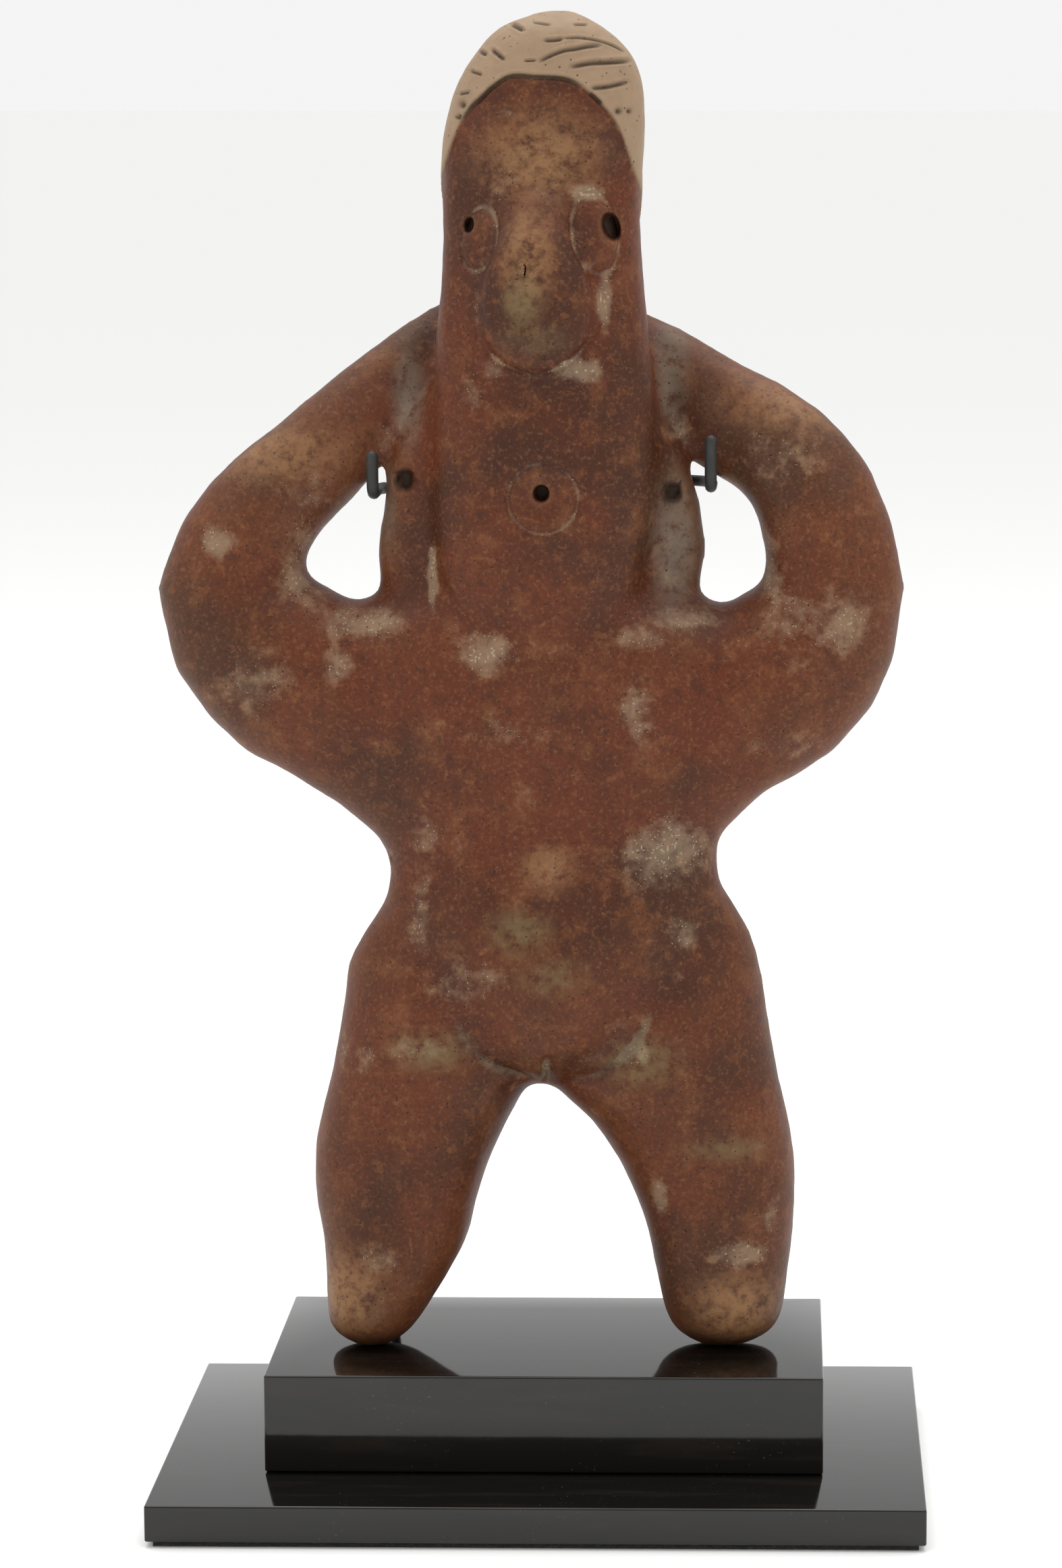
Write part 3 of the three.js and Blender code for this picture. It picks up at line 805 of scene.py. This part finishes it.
def paint_marks(skin):
    """Hollows, ridges and what the tools left, as values that the clay's material reads."""
    normals = skin.normals()
    hollow = ((skin.blur(skin.place, 30) - skin.place) * normals).sum(1)
    fine = ((skin.blur(skin.place, 6) - skin.place) * normals).sum(1)
    skin.mark("hollow", np.clip(hollow / 0.8, 0, 1))
    skin.mark("ridge", np.clip(-hollow / 1.2, 0, 1))
    skin.mark("crease", np.clip(fine / 0.12, 0, 1) * 0.6)
    for name, amount in skin.marks.items():
        layer = skin.mesh.attributes.new(name, "FLOAT", "POINT")
        layer.data.foreach_set("value", amount.astype(np.float32))


def bent_path(corners, bend, steps=6):
    """The middle line of a bar through corners, each turned in an even bend, in millimetres."""
    corners = [np.array(corner, float) for corner in corners]
    path = [corners[0]]
    for before, corner, after in zip(corners, corners[1:], corners[2:]):
        start = corner + (before - corner) * bend / np.linalg.norm(before - corner)
        end = corner + (after - corner) * bend / np.linalg.norm(after - corner)
        for t in np.linspace(0, 1, steps):
            path.append((1 - t) ** 2 * start + 2 * t * (1 - t) * corner + t**2 * end)
    return [*path, corners[-1]]


def rod_path(rod):
    """A rod's run: from its socket behind a leg up to the shoulder, and through to the hook in front."""
    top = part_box("base_upper")[1].z / MM
    height = rod["height"]
    corners = (
        (rod["foot"], 23.6, top - ROD_FOOT_DEPTH),
        (rod["foot"], 23.6, top + 14),
        (rod["shoulder"], 18.6, height - 10.6),
        (rod["shoulder"], 14.6, height),
        (rod["hook"], 9, height),
        (rod["hook"], -8.6, height),
        (rod["hook"], -8.6, rod["tip"]),
    )
    return bent_path(corners, ROD_BEND)


def round_tip(path, radius, steps=5):
    """The path's last stretch in short steps, with the radius at each, so that the bar ends in a dome."""
    way = path[-1] - path[-2]
    way /= np.linalg.norm(way)
    turns = [math.pi / 2 * i / steps for i in range(steps + 1)]
    points = [path[-1] + way * radius * (math.sin(a) - 1) for a in turns]
    return [*path[:-1], *points], [1.0] * (len(path) - 1) + [max(math.cos(a), 0.02) for a in turns]


def bar(name, path, radius):
    """A round bar along a path, domed at its far end."""
    points, widths = round_tip(path, radius)
    curve = bpy.data.curves.new(name, "CURVE")
    curve.dimensions = "3D"
    curve.bevel_depth = radius * MM
    curve.bevel_resolution = 4
    curve.use_fill_caps = True
    spline = curve.splines.new("POLY")
    spline.points.add(len(points) - 1)
    for point, place, width in zip(spline.points, points, widths):
        point.co = (*(place * MM), 1)
        point.radius = width
    piece = linked(name, curve)
    bpy.ops.object.convert(target="MESH")
    piece = bpy.context.object
    shade_soft(piece, 50)
    return piece


def clay_finish(looks):
    """Burnished slip, worn to bare clay on the hair, with earth in the hollows, pale and dark specks, painted
    shade in the cuts and holes, and painted highlight on the arm tops, nose, forehead, belly and legs.
    """
    made = Finish("fired_clay", Specular_IOR_Level=0.25)
    broad = made.noise(32, 2)
    patchy = made.noise(9, 4, 0.6)
    mottle = made.noise(3, 4, 0.65)
    grit = made.noise(0.9, 3, 0.7)
    crust = made.painted("crust")
    hollow = made.painted("hollow")
    crease = made.painted("crease")
    skin = made.mix(broad.between(0.36, 0.62), looks.deep_slip, looks.slip)
    skin = made.mix(patchy.between(0.5, 0.7) * 0.6, skin, looks.warm_slip)
    skin = made.mix(mottle.between(0.54, 0.7) * 0.7, skin, looks.warm_slip)
    skin = made.mix(mottle.between(0.47, 0.32) * 0.6, skin, looks.deep_slip)
    # Lighter worn slip on the ridges, and painted highlight on the arm tops, nose, forehead, belly and legs from
    # the patches.
    worn = made.painted("warm") * mottle.between(0.25, 0.6) + made.painted("ridge") * 0.2
    skin = made.mix(worn, skin, looks.worn_slip_and_highlight)
    skin = made.mix(grit.between(0.5, 0.75) * 0.35, skin, looks.worn_slip_and_highlight)
    skin = made.mix(grit.between(0.48, 0.28) * 0.45, skin, looks.soot_and_shade)
    skin = made.mix(made.painted("olive") * mottle.between(0.3, 0.6) * 0.75, skin, looks.olive)
    skin = made.mix(made.painted("grey") * mottle.between(0.25, 0.55) * 0.8, skin, looks.lime)
    skin = made.mix(made.painted("hair") * (0.75 + 0.35 * mottle), skin, looks.body_clay)
    spread = crust + 0.35 * hollow + 0.5 * crease + 1.6 * patchy - 0.8
    film = (spread + 1.2 * mottle - 0.6).between(0.25, 1.1)
    skin = made.mix(film * 0.4, skin, looks.crust)
    dots = (0.05 + 0.24 * spread - made.cells(1.15)).between(0, 0.07)
    flecks = (0.01 + 0.2 * spread - made.cells(1.2, (0.4, 1, 1), 20)).between(0, 0.05)
    nicks = (0.2 * spread - made.cells(1.3, (1, 1, 0.35), -25)).between(0, 0.05)
    pale = dots.at_least(flecks).at_least(nicks)
    skin = made.mix(pale * (0.4 + 0.6 * grit), skin, looks.crust)
    pits = (0.14 - made.cells(1.7)).between(0, 0.05) * grit.between(0.4, 0.55)
    # Painted shade: the dark colour in the bottoms of cuts and inside pricked holes, laid over the real dark
    # pits.
    dark = made.painted("line").at_least(made.painted("hole"))
    skin = made.mix((0.75 * pits).at_least(dark * 0.85), skin, looks.soot_and_shade)
    rough = 0.45 + 0.3 * pale + 0.2 * film + 0.12 * grit
    relief = made.bump(mottle * 0.6 + grit * 0.35 + pale * 0.5 - pits, 0.2)
    return made.wear(Base_Color=skin, Roughness=rough, Normal=relief)


def lacquer_finish(looks):
    """Black lacquer, polished, with faint brown grain under it and dust on it."""
    made = Finish("black_lacquer", Specular_IOR_Level=0.5)
    streaks = made.noise(5, 4, 0.6, stretch=(0.12, 1, 1)).between(0.5, 0.75)
    wood = made.mix(streaks * 0.5, looks.lacquer, looks.streak)
    specks = made.noise(0.7, 2, 0.5).between(0.68, 0.76)
    haze = made.noise(18, 3)
    top = made.mix(specks * 0.35 * haze.between(0.45, 0.7), wood, looks.dust)
    rough = 0.05 + 0.06 * haze + 0.2 * specks
    return made.wear(Base_Color=top, Roughness=rough, Normal=made.bump(haze, 0.03))


def felt_finish(looks):
    made = Finish("felt", Sheen_Weight=0.4)
    fibres = made.noise(0.9, 3, 0.7, stretch=(1, 1, 2.5))
    lint = made.mix(fibres.between(0.4, 0.7), looks.felt, looks.dust)
    shade = made.mix(0.12, looks.felt, lint)
    return made.wear(Base_Color=shade, Roughness=0.85 + 0.15 * fibres, Normal=made.bump(fibres, 0.3))


def metal_finish(looks):
    made = Finish("blackened_steel", Metallic=0.85)
    wear = made.noise(4, 4, 0.6)
    shade = made.mix(wear.between(0.4, 0.7), looks.metal, looks.sleeve)
    return made.wear(Base_Color=shade, Roughness=0.35 + 0.3 * wear, Normal=made.bump(made.noise(0.8), 0.04))


def sleeve_finish(looks):
    made = Finish("rubber_sleeve")
    soft = made.noise(2.2, 3)
    shade = made.mix(soft.between(0.45, 0.75) * 0.5, looks.sleeve, looks.metal)
    return made.wear(Base_Color=shade, Roughness=0.5 + 0.2 * soft, Normal=made.bump(soft, 0.1))


def floor_finish(looks):
    made = Finish("pale_floor", Specular_IOR_Level=0.1)
    cloud = made.noise(300, 2)
    shade = made.mix(cloud * 0.1, looks.floor, tone("ffffff"))
    return made.wear(Base_Color=shade, Roughness=0.8 + 0.1 * cloud)


class FIGURE_OT_stage(bpy.types.Operator):
    """Sets up the pale floor, the soft lights, the surroundings and the camera"""

    bl_idname = "figure.stage"
    bl_label = "Stage"

    def execute(self, context):
        looks = context.scene.stage_looks
        self.add_floor(looks)
        self.add_camera(context, looks)
        self.add_sky(context, looks)
        target = Vector((0, 0, 0.17))
        self.add_light("key_light", (0.85, -0.95, 1.1), 0.9, looks.key, target)
        self.add_light("fill_light", (-0.95, -0.8, 0.8), 0.9, looks.fill, target)
        self.add_light("top_light", (0.0, 0.15, 1.5), 1.2, looks.top, target)
        context.scene.view_settings.view_transform = "Standard"
        return {"FINISHED"}

    def add_floor(self, looks):
        bpy.ops.mesh.primitive_grid_add(x_subdivisions=24, y_subdivisions=24, size=80)
        floor = bpy.context.object
        floor.name = "floor"
        floor.data.materials.append(floor_finish(looks))

    def add_camera(self, context, looks):
        turn = (math.radians(90 - CAMERA_DOWN), 0, math.radians(CAMERA_TURN))
        bpy.ops.object.camera_add(location=CAMERA_PLACE, rotation=turn)
        camera = bpy.context.object
        camera.data.lens = looks.lens
        camera.data.shift_x = CAMERA_SHIFT
        context.scene.camera = camera

    def add_sky(self, context, looks):
        world = bpy.data.worlds.new("pale_surroundings")
        world.use_nodes = True
        made = Nodes(world.node_tree, "Generated")
        x, y, z = made.axes()
        behind = y.between(-0.6, 0.3)
        strength = looks.room + (looks.sky - looks.room) * behind + looks.ceiling * z.between(0.15, 0.95)
        sky = world.node_tree.nodes["Background"]
        made.feed(sky.inputs["Color"], (1, 1, 1))
        made.feed(sky.inputs["Strength"], strength)
        context.scene.world = world

    def add_light(self, name, place, size, power, target):
        turn = (target - Vector(place)).to_track_quat("-Z", "Y").to_euler()
        bpy.ops.object.light_add(type="AREA", location=place, rotation=turn)
        light = bpy.context.object
        light.name = name
        light.data.size = size
        light.data.energy = power


class FIGURE_OT_clay(bpy.types.Operator):
    """Models the clay figure over its solid and finishes its skin"""

    bl_idname = "figure.clay"
    bl_label = "Clay figure"

    def execute(self, context):
        looks = context.scene.clay_looks
        piece = even_clay(looks.grain)
        skin = Skin(piece.data)
        skin.smooth(14)
        for _ in range(3):
            skin.fill_creases(9, 0.7)
        skin.smooth(3)
        skin.give_back()
        subdivide_where(piece, face_side)
        subdivide_where(piece, finest)
        skin = Skin(piece.data)
        skin.smooth(3)
        hand_modelling(skin, looks.unevenness / MM)
        shape_hair(skin)
        shape_nose(skin)
        shape_eyes(skin)
        shape_mouth(skin)
        for hole in EAR_HOLES:
            skin.prick(hole)
        shape_body(skin)
        shape_back(skin)
        keep_clear(skin, [rod_path(rod) for rod in ROD_PLACES], SLEEVE_RADIUS + 0.15)
        stay_in_box(skin, "figure")
        paint_patches(skin)
        paint_marks(skin)
        skin.give_back()
        shade_soft(piece, 180)
        dress(piece, clay_finish(looks), "clay", "figure")
        return {"FINISHED"}


class FIGURE_OT_base(bpy.types.Operator):
    """Models the two polished boards of the base"""

    bl_idname = "figure.base"
    bl_label = "Base boards"

    def execute(self, context):
        looks = context.scene.base_looks
        finish = lacquer_finish(looks)
        for name, node in (("lower_board", "base_lower"), ("upper_board", "base_upper")):
            board = self.add_board(name, node, looks.edge)
            if node == "base_upper":
                self.drill(board, node)
            shade_soft(board, 35)
            dress(board, finish, "lacquer", node)
        return {"FINISHED"}

    def add_board(self, name, node, edge):
        low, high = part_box(node)
        bpy.ops.object.select_all(action="DESELECT")
        bpy.ops.mesh.primitive_cube_add(size=1, location=(low + high) / 2, scale=high - low)
        board = bpy.context.object
        board.name = name
        settle(board)
        apply_modifier(board, "BEVEL", width=edge, segments=4, limit_method="ANGLE")
        return board

    def drill(self, board, node):
        """The blind sockets that the rods stand in."""
        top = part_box(node)[1].z
        for rod in ROD_PLACES:
            bpy.ops.object.select_all(action="DESELECT")
            place = (rod["foot"] * MM, 23.6 * MM, top)
            depth = 2 * (ROD_FOOT_DEPTH + 0.3) * MM
            bpy.ops.mesh.primitive_cylinder_add(vertices=32, radius=1.72 * MM, depth=depth, location=place)
            drill = bpy.context.object
            apply_modifier(board, "BOOLEAN", object=drill, operation="DIFFERENCE", solver="EXACT")
            bpy.data.objects.remove(drill)


class FIGURE_OT_felt(bpy.types.Operator):
    """Models the thin felt under the base, its edge cut by hand"""

    bl_idname = "figure.felt"
    bl_label = "Felt"

    def execute(self, context):
        low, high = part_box("base_felt")
        bpy.ops.object.select_all(action="DESELECT")
        bpy.ops.mesh.primitive_grid_add(x_subdivisions=84, y_subdivisions=56, size=1, location=(low + high) / 2)
        felt = bpy.context.object
        felt.name = "felt_sheet"
        felt.scale = (high.x - low.x, high.y - low.y, 1)
        settle(felt)
        self.trim(felt, low, high)
        apply_modifier(felt, "SOLIDIFY", thickness=high.z - low.z, offset=0)
        apply_modifier(felt, "BEVEL", width=0.2 * MM, segments=2, limit_method="ANGLE")
        shade_soft(felt, 40)
        dress(felt, felt_finish(context.scene.base_looks), "felt", "base_felt")
        return {"FINISHED"}

    def trim(self, felt, low, high):
        """Draws the edge in by up to a third of a millimetre, unevenly, as scissors leave it."""
        middle = (low + high) / 2
        for vertex in felt.data.vertices:
            reach = max(abs(vertex.co.x / (high.x - low.x)), abs(vertex.co.y / (high.y - low.y))) * 2
            if reach > 0.999:
                draw = 0.33 * MM * (0.5 + 0.5 * noise.noise(vertex.co / (9 * MM)))
                vertex.co -= (vertex.co - middle).normalized() * draw


class FIGURE_OT_rods(bpy.types.Operator):
    """Models the two hooked rods and the sleeves on their hooks"""

    bl_idname = "figure.rods"
    bl_label = "Rods"

    def execute(self, context):
        looks = context.scene.rod_looks
        metal = metal_finish(looks)
        rubber = sleeve_finish(looks)
        for rod in ROD_PLACES:
            path = rod_path(rod)
            wire = bar("rod_" + rod["side"], path, ROD_RADIUS)
            dress(wire, metal, "rod", "mount_rod_" + rod["side"])
            hook = [point for point in path if point[1] < 9.5]
            sleeve = bar("hook_sleeve_" + rod["side"], hook, SLEEVE_RADIUS)
            dress(sleeve, rubber, "rod")
        return {"FINISHED"}


class FIGURE_PT_panel(bpy.types.Panel):
    """The figure's steps and looks, in the sidebar"""

    bl_label = "Clay figure"
    bl_idname = "FIGURE_PT_panel"
    bl_space_type = "VIEW_3D"
    bl_region_type = "UI"
    bl_category = "Clay figure"

    def draw(self, context):
        for operator, group in STEPS:
            box = self.layout.box()
            box.operator(operator.bl_idname)
            looks = getattr(context.scene, group)
            for name in looks.bl_rna.properties.keys():
                if name not in ("rna_type", "name"):
                    box.prop(looks, name)


LOOKS = {
    "clay_looks": ClayLooks,
    "base_looks": BaseLooks,
    "rod_looks": RodLooks,
    "stage_looks": StageLooks,
}
STEPS = (
    (FIGURE_OT_stage, "stage_looks"),
    (FIGURE_OT_base, "base_looks"),
    (FIGURE_OT_felt, "base_looks"),
    (FIGURE_OT_rods, "rod_looks"),
    (FIGURE_OT_clay, "clay_looks"),
)
CLASSES = (*LOOKS.values(), *(operator for operator, group in STEPS), FIGURE_PT_panel)


def register():
    for item in CLASSES:
        bpy.utils.register_class(item)
    for name, group in LOOKS.items():
        setattr(bpy.types.Scene, name, bpy.props.PointerProperty(type=group))


def unregister():
    for name in LOOKS:
        delattr(bpy.types.Scene, name)
    for item in reversed(CLASSES):
        bpy.utils.unregister_class(item)


def main():
    register()
    for operator, _ in STEPS:
        group, name = operator.bl_idname.split(".")
        getattr(getattr(bpy.ops, group), name)()


if __name__ == "__main__":
    main()
